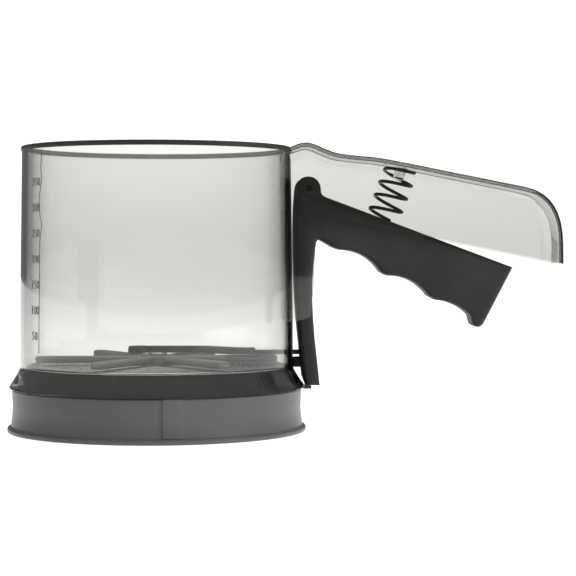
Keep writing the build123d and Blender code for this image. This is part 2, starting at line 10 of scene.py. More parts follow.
import bmesh
import bpy
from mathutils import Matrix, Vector


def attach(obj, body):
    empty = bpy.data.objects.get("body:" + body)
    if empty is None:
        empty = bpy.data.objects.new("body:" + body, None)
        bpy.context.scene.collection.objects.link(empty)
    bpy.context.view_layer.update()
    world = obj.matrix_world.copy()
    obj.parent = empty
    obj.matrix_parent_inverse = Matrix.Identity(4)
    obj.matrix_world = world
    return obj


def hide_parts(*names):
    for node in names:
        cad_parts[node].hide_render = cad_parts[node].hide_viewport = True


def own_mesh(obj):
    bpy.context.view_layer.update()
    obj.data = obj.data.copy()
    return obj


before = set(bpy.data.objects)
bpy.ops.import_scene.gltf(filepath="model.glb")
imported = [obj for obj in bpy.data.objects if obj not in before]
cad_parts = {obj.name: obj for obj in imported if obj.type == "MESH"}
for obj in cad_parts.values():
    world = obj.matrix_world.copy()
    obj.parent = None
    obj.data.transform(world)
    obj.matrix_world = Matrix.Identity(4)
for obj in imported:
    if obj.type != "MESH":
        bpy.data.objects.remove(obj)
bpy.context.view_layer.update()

MM = 0.001

# %% [markdown]
# ## Habits that keep operators safe
# An operator works on whatever is selected. After loading, the CAD nodes are selected, so each step
# first clears the selection and then selects by a rule, such as height or facing. These helpers do
# what a hand would do with the mouse: pick an object, go into edit mode, and choose parts of it.

# %% Selecting helpers
def clear_selection():
    """Leaves edit mode and selects nothing."""
    if bpy.context.mode != "OBJECT":
        bpy.ops.object.mode_set(mode="OBJECT")
    bpy.ops.object.select_all(action="DESELECT")


def pick(*objects):
    """Selects only these objects, and makes the first one active."""
    clear_selection()
    for thing in objects:
        thing.select_set(True)
    bpy.context.view_layer.objects.active = objects[0]
    return objects[0]


def edit(thing):
    """Opens an object in edit mode with everything selected."""
    pick(thing)
    bpy.ops.object.mode_set(mode="EDIT")
    bpy.ops.mesh.select_mode(type="VERT")
    bpy.ops.mesh.select_all(action="SELECT")


def choose(kind, rule):
    """In edit mode, selects the vertices, edges or faces that the rule is true for."""
    bpy.ops.mesh.select_mode(type=kind)
    bpy.ops.mesh.select_all(action="DESELECT")
    mesh = bpy.context.object.data
    form = bmesh.from_edit_mesh(mesh)
    form.normal_update()
    group = {"VERT": form.verts, "EDGE": form.edges, "FACE": form.faces}[kind]
    count = 0
    for part in group:
        if rule(part):
            part.select_set(True)
            count += 1
    form.select_flush_mode()
    bmesh.update_edit_mesh(mesh)
    return count


def close_up(thing):
    """Merges doubled vertices and turns the faces outwards."""
    edit(thing)
    bpy.ops.mesh.remove_doubles(threshold=0.002 * MM)
    bpy.ops.mesh.select_all(action="SELECT")
    bpy.ops.mesh.normals_make_consistent(inside=False)
    clear_selection()


def settle(thing):
    """Puts the object at the origin, unturned and unscaled, with its place in its mesh."""
    pick(thing)
    bpy.ops.object.transform_apply(location=True, rotation=True, scale=True)


def tool_step(thing, kind, **settings):
    """Adds one modifier with these settings and applies it."""
    pick(thing)
    step = thing.modifiers.new(kind.lower(), kind)
    for key, value in settings.items():
        setattr(step, key, value)
    bpy.ops.object.modifier_apply(modifier=step.name)


def combine(thing, other, operation="UNION"):
    """Joins another solid to this one, or cuts it away, and removes the other."""
    tool_step(thing, "BOOLEAN", operation=operation, object=other, solver="EXACT")
    bpy.data.objects.remove(other)


def soften(thing, width, steps=2, angle=35):
    """Rounds every edge that is sharper than the angle."""
    tool_step(
        thing, "BEVEL", width=width * MM, segments=steps, limit_method="ANGLE",
        angle_limit=math.radians(angle), harden_normals=False,
    )


# %% [markdown]
# ## Turning
# Most of the sifter is round, and a lathe makes round things from a profile. Here the lathe is a
# circle that is extruded from one profile point to the next and resized on the way. The profile
# comes back to its first point, so the ring is closed like a real moulded wall.

# %% The lathe
def turned(name, profile, segments=128, turn=0.0):
    """Ring whose section is the profile, a list of (radius, height) in millimetres."""
    clear_selection()
    radius, height = profile[0]
    bpy.ops.mesh.primitive_circle_add(
        vertices=segments, radius=radius * MM, location=(0, 0, height * MM), rotation=(0, 0, turn)
    )
    thing = bpy.context.object
    thing.name = name
    settle(thing)
    edit(thing)
    for next_radius, next_height in profile[1:] + profile[:1]:
        rise = (0, 0, (next_height - height) * MM)
        bpy.ops.mesh.extrude_edges_move(TRANSFORM_OT_translate={"value": rise})
        grow = next_radius / radius
        bpy.ops.transform.resize(value=(grow, grow, 1), center_override=(0, 0, next_height * MM))
        radius, height = next_radius, next_height
    clear_selection()
    close_up(thing)
    return thing


def rod(name, radius, bottom, top, place=(0, 0), segments=32):
    """Upright solid cylinder between two heights."""
    clear_selection()
    bpy.ops.mesh.primitive_cylinder_add(
        vertices=segments, radius=radius * MM, depth=(top - bottom) * MM,
        location=(place[0] * MM, place[1] * MM, (bottom + top) / 2 * MM),
    )
    thing = bpy.context.object
    thing.name = name
    settle(thing)
    return thing


def block(name, low, high):
    """Box between two corners."""
    clear_selection()
    middle = [(a + b) / 2 * MM for a, b in zip(low, high)]
    bpy.ops.mesh.primitive_cube_add(size=1, location=middle)
    thing = bpy.context.object
    thing.name = name
    thing.scale = [(b - a) * MM for a, b in zip(low, high)]
    settle(thing)
    return thing


# %% [markdown]
# ## Finishes
# Each finish is a small node tree. Object coordinates are in metres here, so a noise scale of 900
# makes grains about a millimetre across. A slow noise varies the colour, a fine one gives the
# grain, and another changes the roughness, so that highlights break up as they do on real plastic.

# %% Node helpers
def new_finish(name):
    """Empty material with an output and a Principled shader."""
    finish = bpy.data.materials.new(name)
    finish.use_nodes = True
    tree = finish.node_tree
    tree.nodes.clear()
    output = tree.nodes.new("ShaderNodeOutputMaterial")
    shader = tree.nodes.new("ShaderNodeBsdfPrincipled")
    tree.links.new(shader.outputs["BSDF"], output.inputs["Surface"])
    return finish, tree, shader, output


def noise(tree, scale, detail=3.0, stretch=(1, 1, 1)):
    """Noise on object coordinates, which may be stretched along an axis."""
    place = tree.nodes.new("ShaderNodeTexCoord")
    mapping = tree.nodes.new("ShaderNodeMapping")
    mapping.inputs["Scale"].default_value = stretch
    pattern = tree.nodes.new("ShaderNodeTexNoise")
    pattern.inputs["Scale"].default_value = scale
    pattern.inputs["Detail"].default_value = detail
    tree.links.new(place.outputs["Object"], mapping.inputs["Vector"])
    tree.links.new(mapping.outputs["Vector"], pattern.inputs["Vector"])
    return pattern.outputs["Fac"]


def spread(tree, source, low, high, start=0.3, end=0.7):
    """Maps a pattern to the numbers from low to high."""
    node = tree.nodes.new("ShaderNodeMapRange")
    node.inputs["From Min"].default_value = start
    node.inputs["From Max"].default_value = end
    node.inputs["To Min"].default_value = low
    node.inputs["To Max"].default_value = high
    tree.links.new(source, node.inputs["Value"])
    return node.outputs["Result"]


def tint(tree, source, dark, light, start=0.3, end=0.7):
    """Colour ramp between two colours."""
    ramp = tree.nodes.new("ShaderNodeValToRGB")
    ramp.color_ramp.elements[0].position = start
    ramp.color_ramp.elements[0].color = (*dark, 1)
    ramp.color_ramp.elements[1].position = end
    ramp.color_ramp.elements[1].color = (*light, 1)
    tree.links.new(source, ramp.inputs["Fac"])
    return ramp.outputs["Color"]


def bump(tree, shader, source, strength, depth, below=None):
    """Bump of a given depth in metres on the shader, over an earlier bump if there is one."""
    node = tree.nodes.new("ShaderNodeBump")
    node.inputs["Strength"].default_value = strength
    node.inputs["Distance"].default_value = depth
    tree.links.new(source, node.inputs["Height"])
    if below is not None:
        tree.links.new(below, node.inputs["Normal"])
    tree.links.new(node.outputs["Normal"], shader.inputs["Normal"])
    return node.outputs["Normal"]


def solid_finish(name, dark, light, rough, grain_scale, grain, metallic=0.0, shine=0.5,
                 stretch=(1, 1, 1), patch=45):
    """Opaque finish with slow colour change, broken roughness and a fine grain."""
    finish, tree, shader, _ = new_finish(name)
    shader.inputs["Metallic"].default_value = metallic
    shader.inputs["Specular IOR Level"].default_value = shine
    slow = noise(tree, patch, 4)
    tree.links.new(tint(tree, slow, dark, light), shader.inputs["Base Color"])
    fine = noise(tree, grain_scale, 3, stretch)
    tree.links.new(spread(tree, fine, *rough), shader.inputs["Roughness"])
    first = bump(tree, shader, fine, grain, 0.05 * MM)
    bump(tree, shader, noise(tree, 60, 2), 0.12, 0.15 * MM, below=first)
    print("finish", name, "nodes", len(tree.nodes))
    return finish


# %% [markdown]
# The cup and handle are one smoky clear plastic. Its grey comes from the depth of plastic that the
# light crosses, so the colour is a Volume Absorption and not a paint: one wall is pale, two walls
# are darker, and edges seen along the sheet go nearly black, as they do on real acrylic. On top of
# that, a Layer Weight paints shade on the glancing edges. It darkens the colour of a wall seen at a
# glancing angle, in place of the dark surroundings that clear edges refract. Its five stops go from
# a wall seen squarely, which stays clear, to a wall seen almost edge on.

# %% Finishes of the sifter
SMOKE_DENSITY = 160.0
SMOKE_COLOUR = (0.40, 0.39, 0.34, 1)
# Painted shade: stops of facing value and tone; a wall seen edge on is painted darker.
GLANCING_PAINTED_SHADE = ((0.42, 1.0), (0.56, 0.84), (0.64, 0.80), (0.72, 0.46), (0.86, 0.62))

smoke, tree, shader, output = new_finish("clear_smoke")
shader.inputs["Base Color"].default_value = (1, 1, 1, 1)
shader.inputs["Transmission Weight"].default_value = 1.0
shader.inputs["IOR"].default_value = 1.5
shader.inputs["Specular IOR Level"].default_value = 0.3
# Painted shade: the ramp below darkens the base colour where a wall is seen at a glancing angle.
rim_view = tree.nodes.new("ShaderNodeLayerWeight")
rim_view.inputs["Blend"].default_value = 0.5
edge = tree.nodes.new("ShaderNodeValToRGB")
for position, tone in GLANCING_PAINTED_SHADE:
    stop = edge.color_ramp.elements.new(position)
    stop.color = (tone, tone, tone * 0.99, 1)
edge.color_ramp.elements.remove(edge.color_ramp.elements[0])
edge.color_ramp.elements.remove(edge.color_ramp.elements[-1])
tree.links.new(rim_view.outputs["Facing"], edge.inputs["Fac"])
tree.links.new(edge.outputs["Color"], shader.inputs["Base Color"])
tree.links.new(spread(tree, noise(tree, 180, 4), 0.01, 0.045), shader.inputs["Roughness"])
flow = bump(tree, shader, noise(tree, 26, 2, (1, 1, 0.35)), 0.10, 0.5 * MM)
bump(tree, shader, noise(tree, 700, 2), 0.02, 0.05 * MM, below=flow)
absorb = tree.nodes.new("ShaderNodeVolumeAbsorption")
absorb.inputs["Density"].default_value = SMOKE_DENSITY
absorb.inputs["Color"].default_value = SMOKE_COLOUR
tree.links.new(absorb.outputs["Volume"], output.inputs["Volume"])

charcoal = solid_finish(
    "charcoal_plastic", (0.016, 0.0155, 0.0145), (0.024, 0.023, 0.0215), (0.42, 0.58), 1500, 0.10,
    shine=0.16,
)
grey = solid_finish(
    "grey_plastic", (0.053, 0.0535, 0.055), (0.060, 0.0608, 0.0622), (0.30, 0.40), 1100, 0.04,
    shine=0.45,
)
paddle = solid_finish(
    "paddle_grey", (0.27, 0.265, 0.256), (0.33, 0.324, 0.313), (0.34, 0.46), 1200, 0.05,
    shine=0.45,
)
# Painted glints and shade: a strong colour noise about a millimetre and a half across speckles the
# weave light and dark, in place of lit and shaded wire crests.
stainless = solid_finish(
    "stainless", (0.10, 0.10, 0.098), (0.54, 0.54, 0.528), (0.22, 0.40), 2200, 0.06, 1.0,
    stretch=(1, 1, 6), patch=650,
)
bright_steel = solid_finish(
    "bright_steel", (0.50, 0.50, 0.49), (0.66, 0.66, 0.65), (0.16, 0.30), 2400, 0.05, 1.0
)
steel = solid_finish(
    "spring_steel", (0.012, 0.012, 0.0115), (0.028, 0.027, 0.026), (0.28, 0.45), 2600, 0.10, 1.0
)
frame_grey = solid_finish(
    "frame_grey", (0.135, 0.135, 0.138), (0.155, 0.155, 0.158), (0.36, 0.50), 1100, 0.05,
    shine=0.22,
)
ink = solid_finish(
    "graduation_ink", (0.09, 0.09, 0.09), (0.13, 0.13, 0.13), (0.4, 0.55), 1500, 0.05,
    shine=0.2,
)
# Painted light: a pale finish for the inner faces of the thin band round the rim.
pale_painted_light = solid_finish(
    "rim_painted_light", (0.86, 0.86, 0.85), (0.94, 0.94, 0.93), (0.4, 0.55), 1500, 0.04
)


# %% [markdown]
# A finished piece gets its material, smooth shading with an angle limit so that crisp edges stay
# crisp, the CAD body that it moves with, and the CAD nodes that it stands for.

# %% Finishing a piece
def finished(thing, material, body, nodes=(), angle=32):
    """Gives a piece its finish and body, hides the CAD nodes that it stands for, and says how many
    triangles it has.
    """
    thing.data.materials.clear()
    thing.data.materials.append(material)
    pick(thing)
    bpy.ops.object.shade_smooth_by_angle(angle=math.radians(angle))
    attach(thing, body)
    if nodes:
        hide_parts(*nodes)
    triangles = sum(len(face.vertices) - 2 for face in thing.data.polygons)
    low = [round(min(v.co[i] for v in thing.data.vertices) / MM, 1) for i in range(3)]
    high = [round(max(v.co[i] for v in thing.data.vertices) / MM, 1) for i in range(3)]
    form = bmesh.new()
    form.from_mesh(thing.data)
    loose = sum(not edge.is_manifold for edge in form.edges)
    volume = form.calc_volume(signed=True) / MM**3
    form.free()
    print(thing.name, triangles, "triangles", low, high, "open", loose, "mm3", round(volume))
    return thing


# %% [markdown]
# ## The cup
# A moulded clear wall 2 mm thick, a little wider at the foot, with a bead round the rim and a skirt
# that flares out over the sieve. The bead and the skirt are in the profile, where they are easy to
# change.

# %% Cup wall
CUP_PROFILE = [
    (61.5, 18.0), (61.5, 19.0), (60.1, 20.9), (58.5, 23.5), (57.35, 25.8), (57.1, 27.0),
    (57.09, 28.0), (55.94, 115.2), (55.93, 116.0), (55.92, 117.8), (55.6, 118.15), (55.2, 118.2),
    (54.4, 118.2), (54.05, 117.9), (53.9, 117.3), (53.91, 116.3),
    (55.08, 28.0), (55.1, 26.8), (55.35, 25.6), (59.0, 18.0),
]
cup = turned("clear_body", CUP_PROFILE, segments=160)
print("cup faces", len(cup.data.polygons))

# %% [markdown]
# ## The handle
# A hollow channel in the same clear plastic. Its outline changes along its length, so it is walked
# from station to station: one end face is extruded, and its top edge is then moved by itself to
# its own place. The long top edges get a wide bevel. A second, smaller walk makes the hollow, and
# cutting it away leaves a wall with an open underside. A third walk is a little wider and stays
# lower, and leaves a fine ledge inside, which shows as a thin line that follows the back.

# %% Walking a section through stations
def smooth_line(knots, count):
    """Points on a curve through the knots."""
    ends = [knots[0]] + list(knots) + [knots[-1]]
    line = []
    for i in range(len(knots) - 1):
        a, b, c, d = (Vector(p) for p in ends[i : i + 4])
        for j in range(count):
            t = j / count
            line.append(
                0.5 * (2 * b + (c - a) * t + (2 * a - 5 * b + 4 * c - d) * t**2
                       + (3 * b - a - 3 * c + d) * t**3)
            )
    return line + [Vector(knots[-1])]


def move_chosen(indices, value):
    """In edit mode, moves only the vertices with these numbers."""
    mesh = bpy.context.object.data
    bpy.ops.mesh.select_all(action="DESELECT")
    form = bmesh.from_edit_mesh(mesh)
    form.verts.ensure_lookup_table()
    for index in indices:
        form.verts[index].select_set(True)
    form.select_flush(True)
    bmesh.update_edit_mesh(mesh)
    bpy.ops.transform.translate(value=value)


def walked(name, stations, half):
    """Solid of a given half width through stations of (top x, top z, low x, low z)."""
    clear_selection()
    top_x, top_z, low_x, low_z = stations[0]
    bpy.ops.mesh.primitive_plane_add(
        size=1, rotation=(0, math.atan2(low_z - top_z, top_x - low_x), 0),
        location=((top_x + low_x) / 2 * MM, 0, (top_z + low_z) / 2 * MM),
    )
    thing = bpy.context.object
    thing.name = name
    thing.scale = (math.hypot(top_x - low_x, top_z - low_z) * MM, 2 * half * MM, 1)
    settle(thing)
    edit(thing)
    bpy.ops.mesh.select_mode(type="VERT")
    bpy.ops.mesh.select_all(action="SELECT")
    for station in stations[1:]:
        low_move = ((station[2] - low_x) * MM, 0, (station[3] - low_z) * MM)
        top_move = ((station[0] - top_x) * MM, 0, (station[1] - top_z) * MM)
        bpy.ops.mesh.extrude_region_move(TRANSFORM_OT_translate={"value": low_move})
        form = bmesh.from_edit_mesh(thing.data)
        form.verts.index_update()
        across = Vector((top_x - low_x, 0, top_z - low_z))
        ends = [(v.co.dot(across), v.index) for v in form.verts if v.select]
        tops = [index for _, index in sorted(ends)[2:]]
        extra = tuple(b - a for a, b in zip(low_move, top_move))
        move_chosen(tops, extra)
        # A move by nothing selects the whole end again, for the next extrusion.
        move_chosen([index for _, index in ends], (0, 0, 0))
        top_x, top_z, low_x, low_z = station
    clear_selection()
    close_up(thing)
    return thing


def round_back(thing, stations, radius, steps=6):
    """Bevels the two long top edges of a walked solid, and the upright edges of its end."""
    edit(thing)
    end_x = stations[-1][0] - 0.01

    def long_edge(edge):
        a, b = (v.co / MM for v in edge.verts)
        along = a.y * b.y > 0 and (a - b).length > 0.001
        tops = [any(abs(p.x - s[0]) + abs(p.z - s[1]) < 0.01 for s in stations) for p in (a, b)]
        return along and (all(tops) or min(a.x, b.x) > end_x)

    count = choose("EDGE", long_edge)
    bpy.ops.mesh.bevel(
        offset=radius * MM, segments=steps, affect="EDGES", clamp_overlap=False, loop_slide=False
    )
    clear_selection()
    print(thing.name, "rounded", count, "edges")


# %% Handle channel
HANDLE_HALF = 13.5
HANDLE_WALL = 1.9
HANDLE_EDGE = 5.2
HOLLOW_EDGE = 2.8
HOLLOW_END = 167.8
HOLLOW_FLOOR = 40.0
LEDGE_DROP = 5.6
LEDGE_END = 164.1
LEDGE = 0.6
# The back's line: the hump over the pivot, the straight back and the round end.
BACK = [
    (54.1, 117.35), (57.6, 118.9), (61.5, 119.95), (65.5, 119.2), (70.0, 117.3), (75.6, 115.4),
    (84.0, 114.4), (95.6, 113.1), (124.0, 107.5), (153.0, 101.75),
]
# The lower edge: the strip beside the cup, its corner, and the long straight edge.
UNDER = [
    (54.1, 45.3), (58.0, 45.8), (62.6, 47.0), (63.8, 48.0), (64.4, 50.0), (65.9, 83.0),
    (67.0, 87.0), (68.8, 89.2), (71.2, 89.35), (169.7, 69.4),
]
STATION_X = [
    54.1, 56, 58, 60, 62.6, 63.8, 64.9, 65.9, 67, 68.8, 71.2, 73.5, 76, 80, 84, 90, 96, 105, 115,
    124, 134, 144,
]
# Round end: (top x, top z, low x). The sections fan out, so each one crosses the back squarely.
END_FAN = [
    (153.0, 101.75, 147), (156.0, 101.0, 149), (158.8, 99.95, 150.5), (161.4, 98.4, 152),
    (163.8, 96.3, 153.5), (165.8, 93.7, 155), (167.4, 90.5, 156.5), (168.6, 86.8, 158),
    (169.3, 82.6, 160), (169.6, 78.0, 169.7),
]


def height_at(line, x):
    """Height of a line of points at x."""
    for (x0, z0), (x1, z1) in zip(line, line[1:]):
        if x <= x1:
            return z0 + (z1 - z0) * (x - x0) / (x1 - x0)
    return line[-1][1]


back = [tuple(p) for p in smooth_line(BACK, 8)]
outer_stations = [(x, height_at(back, x), x, height_at(UNDER, x)) for x in STATION_X]
outer_stations += [(x, z, low_x, height_at(UNDER, low_x)) for x, z, low_x in END_FAN]


def inset_walk(stations, drop, end_x):
    """Stations of a hollow whose top lies this far inside the outer ones."""
    inner = []
    for i, (x, z, low_x, _) in enumerate(stations):
        before = stations[max(i - 1, 0)]
        after = stations[min(i + 1, len(stations) - 1)]
        along = Vector((after[0] - before[0], after[1] - before[1])).normalized()
        inner.append((x + along.y * drop, z - along.x * drop, low_x - drop, HOLLOW_FLOOR))
    inner[0] = (50.0, inner[0][1] - 1.6, 50.0, HOLLOW_FLOOR)
    inner[-1] = (end_x - 0.1, 77.8, end_x, HOLLOW_FLOOR)
    return inner


handle = walked("handle", outer_stations, HANDLE_HALF)
round_back(handle, outer_stations, HANDLE_EDGE)
narrow = inset_walk(outer_stations, HANDLE_WALL, HOLLOW_END)
hollow = walked("hollow", narrow, HANDLE_HALF - HANDLE_WALL - LEDGE)
round_back(hollow, narrow, HOLLOW_EDGE, 4)
combine(handle, hollow, "DIFFERENCE")
lower = inset_walk(outer_stations, LEDGE_DROP, LEDGE_END)
combine(handle, walked("ledge", lower, HANDLE_HALF - HANDLE_WALL), "DIFFERENCE")
soften(handle, 0.3, 2, 50)
print("handle faces", len(handle.data.polygons))

# %% [markdown]
# The handle grows out of the cup, so the two are united into one clear body. A small boss hangs
# from the back to hold the spring, a tab stands out under the trigger's foot, and the cup wall has
# a slot for the drive link. Round holes take the pivot pin. Smooth shading bends light at the ends
# of a long flat wall, and clear plastic shows that, so Weighted Normal keeps the flats flat.

# %% One clear body
SEAT = Vector((102.8, 0, 110.0))
PIVOT = (63.0, 100.6)
SPRING_AXIS = Vector((0.350, 0, 0.937)).normalized()
TILT = math.atan2(SPRING_AXIS.x, SPRING_AXIS.z)

boss = rod("seat_boss", 2.2, -5.6, 1.4, segments=40)
soften(boss, 0.4)
boss.rotation_euler = (0, TILT, 0)
boss.location = SEAT * MM
settle(boss)
tab = block("tab", (60.9, -6, 17.2), (64.5, 6, 18.4))
soften(tab, 0.3)
combine(cup, handle)
combine(cup, boss)
combine(cup, tab)
combine(cup, block("link_slot", (48, -2.9, 30.2), (59.5, 2.9, 34.6)), "DIFFERENCE")
pin_hole = rod("pin_hole", 1.52, -20, 20)
pin_hole.rotation_euler = (math.radians(90), 0, 0)
pin_hole.location = (PIVOT[0] * MM, 0, PIVOT[1] * MM)
settle(pin_hole)
combine(cup, pin_hole, "DIFFERENCE")
edit(cup)
bpy.ops.mesh.fill_holes(sides=4)
clear_selection()
finished(cup, smoke, "body", ("cup", "handle_shell"), angle=40)
tool_step(cup, "WEIGHTED_NORMAL", mode="FACE_AREA", weight=50, keep_sharp=True)

# %% [markdown]
# ## The rim band of painted shade and light
# From outside, the rim reads as one dark line, but from inside it is pale. A thin band round the
# outside of the rim paints both: its outer faces are painted shade in dark charcoal, and its inner
# faces are painted light in a pale grey. So it has two materials, given to the faces by the way
# that they face.

# %% Painted shade and painted light round the rim
painted_rim = turned(
    "painted_rim_shade_and_light",
    [(55.96, 116.05), (56.15, 116.2), (56.25, 116.6), (56.25, 117.5), (56.15, 117.95),
     (55.98, 118.05)],
    segments=160,
)
# Painted shade: the band's outer faces are dark charcoal.
finished(painted_rim, charcoal, "body", angle=50)
painted_rim.data.materials.append(pale_painted_light)
# Painted light: faces that look inwards take the pale second finish; the outward ones keep the
# painted shade.
for face in painted_rim.data.polygons:
    middle = face.center
    if face.normal.x * middle.x + face.normal.y * middle.y < 0:
        face.material_index = 1

# %% [markdown]
# ## Graduations
# A cup for measuring flour has a scale. Its numbers are outlines moulded on the wall, so each one
# is text whose outline gets a fine round bevel, made into a mesh. A thin moulding line runs beside
# them; it is one small box walked down the wall, and it wanders a little as moulding lines do.

# %% Numbers
SCALE_ANGLE = math.radians(212.8)
SCALE_STEP = 10.3
LOWEST_NUMBER = 40.6


def wall_radius(height):
    """Outer radius of the cup's wall at a height."""
    return 57.1 - (height - 27.0) * 1.17 / 89.0


marks = []
for step in range(7):
    clear_selection()
    height = LOWEST_NUMBER + SCALE_STEP * step
    radius = wall_radius(height) + 0.02
    bpy.ops.object.text_add(
        location=(
            radius * math.cos(SCALE_ANGLE) * MM, radius * math.sin(SCALE_ANGLE) * MM, height * MM
        ),
        rotation=(math.radians(90), 0, SCALE_ANGLE + math.radians(90)),
    )
    mark = bpy.context.object
    mark.name = f"number_{step}"
    mark.data.body = str(50 + 50 * step)
    mark.data.size = 4.8 * MM
    mark.data.align_x = "CENTER"
    mark.data.align_y = "CENTER"
    mark.data.fill_mode = "NONE"
    mark.data.bevel_depth = 0.11 * MM
    mark.data.bevel_resolution = 1
    mark.data.resolution_u = 3
    bpy.ops.object.convert(target="MESH")
    settle(bpy.context.object)
    marks.append(bpy.context.object)
pick(*marks)
bpy.ops.object.join()
numbers = bpy.context.object
numbers.name = "graduations"
close_up(numbers)
finished(numbers, ink, "body", angle=60)

# %% Moulding line
LINE_WAVE = [
    (114.0, 0.9), (108.0, 0.3), (103.0, 1.1), (98.0, -0.4), (93.0, -1.0), (89.0, 0.0),
    (86.0, 1.3), (82.5, 0.9), (79.0, 0.0), (70.0, -0.1), (58.0, 0.0), (46.0, -0.1), (34.0, 0.0),
]
LINE_ANGLE = math.radians(216.3)
clear_selection()
start_height, start_shift = LINE_WAVE[0]
bpy.ops.mesh.primitive_plane_add(
    size=0.26 * MM, location=(start_shift * MM, -wall_radius(start_height) * MM, start_height * MM)
)
line = bpy.context.object
line.name = "moulding_line"
settle(line)
edit(line)
for height, shift in LINE_WAVE[1:]:
    move = (
        (shift - start_shift) * MM, (wall_radius(start_height) - wall_radius(height)) * MM,
        (height - start_height) * MM,
    )
    bpy.ops.mesh.extrude_region_move(TRANSFORM_OT_translate={"value": move})
    start_height, start_shift = height, shift
clear_selection()
line.rotation_euler = (0, 0, LINE_ANGLE + math.radians(90))
settle(line)
close_up(line)
finished(line, ink, "body")

# %% [markdown]
# ## The woven sieve
# The sieve is steel wire in a plain weave. One wave of one wire is modelled by extruding a small
# square section up and down, and arrays repeat it: first along the wire, then from wire to wire
# with every second wire half a wave on. The two directions are two pieces. What lies outside the
# rim is deleted and the cut ends are filled.

# %% Wires
PITCH = 1.1
WIRE = 0.15
SIEVE_Z = 26.8
SIEVE_R = 52.7


def woven(name, turn, lift):
    """All the wires of one direction of the weave."""
    clear_selection()
    wires = 2 * int(SIEVE_R / PITCH / 2) + 1
    span = wires * PITCH
    bpy.ops.mesh.primitive_circle_add(
        vertices=4, radius=WIRE * MM, rotation=(0, math.radians(90), 0),
        location=(-span * MM, -span * MM, (SIEVE_Z - lift * WIRE) * MM),
    )
    wire = bpy.context.object
    wire.name = name
    settle(wire)
    edit(wire)
    for rise in (1, 1, -1, -1):
        move = (PITCH / 2 * MM, 0, rise * lift * WIRE * MM)
        bpy.ops.mesh.extrude_edges_move(TRANSFORM_OT_translate={"value": move})
    clear_selection()
    along = {"use_relative_offset": False, "use_constant_offset": True, "use_merge_vertices": True,
             "merge_threshold": 0.01 * MM}
    tool_step(wire, "ARRAY", count=wires, constant_offset_displace=(2 * PITCH * MM, 0, 0), **along)
    pick(wire)
    bpy.ops.object.duplicate()
    other = bpy.context.object
    other.location = (PITCH * MM, PITCH * MM, 0)
    settle(other)
    pick(wire, other)
    bpy.ops.object.join()
    along["use_merge_vertices"] = False
    tool_step(wire, "ARRAY", count=wires, constant_offset_displace=(0, 2 * PITCH * MM, 0), **along)
    edit(wire)

    def outside(vertex):
        """A whole ring of a wire is inside or outside, so the cut ends stay square."""
        x, y = vertex.co.x / MM, vertex.co.y / MM
        own_y = round((y + span) / PITCH) * PITCH - span
        return math.hypot(round(2 * x / PITCH) * PITCH / 2, own_y) > SIEVE_R

    choose("VERT", outside)
    bpy.ops.mesh.delete(type="VERT")
    bpy.ops.mesh.select_mode(type="VERT")
    bpy.ops.mesh.select_all(action="SELECT")
    bpy.ops.mesh.fill_holes(sides=4)
    clear_selection()
    wire.rotation_euler = (0, 0, turn)
    settle(wire)
    close_up(wire)
    return wire


# The weave's finish carries painted glints and shade as light and dark speckles.
finished(
    woven("sieve_warp", math.radians(24), 1), stainless, "body", ("sieve_mesh",),
    angle=60,
)
finished(woven("sieve_weft", math.radians(114), -1), stainless, "body", angle=60)

# %% [markdown]
# ## Rim, frame and cap
# A folded steel ring holds the edge of the weave. Under it a grey frame fills the skirt, with
# groups of small ribs that locate it, and a grey cap closes the bottom of the sifter. All three
# are turned on the lathe. A rib is a box whose lower end is moved out, so that it follows the
# slope of the frame, and it is united with the frame.

# %% Sieve rim
rim = turned(
    "sieve_rim",
    [(51.8, 26.2), (54.3, 26.2), (54.6, 26.5), (54.6, 27.1), (54.3, 27.4), (52.1, 27.4),
     (51.8, 27.15), (51.8, 26.9)],
    segments=144,
)
finished(rim, bright_steel, "body", ("mesh_rim",), angle=50)

# %% Sieve frame with its ribs
RIB_PITCH = 2.4
RIB_ANGLE = -38
seat = turned(
    "sieve_ring",
    [(51.4, 26.2), (54.45, 26.2), (54.9, 25.4), (58.1, 18.2), (58.3, 17.7), (58.3, 11.3),
     (58.0, 11.0), (56.4, 11.0), (56.1, 11.3), (56.1, 16.9), (55.9, 17.5), (51.9, 24.2),
     (51.4, 25.0)],
    segments=144,
)
for group in range(3):
    for place in range(5):
        turn = math.radians(RIB_ANGLE + 120 * group + RIB_PITCH * (place - 2))
        rib = block("rib", (54.2, -0.55, 19.5), (55.3, 0.55, 25.3))
        edit(rib)
        choose("VERT", lambda v: v.co.z < 22 * MM)
        bpy.ops.transform.translate(value=(2.7 * MM, 0, 0))
        clear_selection()
        soften(rib, 0.15)
        rib.rotation_euler = (0, 0, turn)
        settle(rib)
        combine(seat, rib)
finished(seat, frame_grey, "body", ("sieve_frame",))

# %% [markdown]
# The cap pulls off downwards, and three narrow panels give a grip. Its number of segments puts
# three faces of the ring on each panel, so a panel is those faces pushed out along their normals.
# The lathe leaves a small bore in the floor, whose rings are merged into closed poles.

# %% Base cap with raised panels
CAP_SEGMENTS = 147
PANEL_ANGLE = -81.7
PANEL_RISE = 0.6
half_step = math.radians(360 / CAP_SEGMENTS / 2)
cap = turned(
    "cap",
    [(62.0, 0.0), (62.3, 0.35), (62.3, 1.5), (61.9, 2.0), (61.1, 2.2), (60.75, 2.6),
     (60.05, 9.7), (60.4, 17.3), (60.2, 17.6), (59.9, 17.7), (58.8, 17.7), (58.6, 17.4),
     (58.6, 2.6), (57.8, 1.8), (2.0, 1.8), (2.0, 0.25), (55.0, 0.25), (56.0, 0.0)],
    segments=CAP_SEGMENTS, turn=math.radians(PANEL_ANGLE) + half_step,
)
edit(cap)


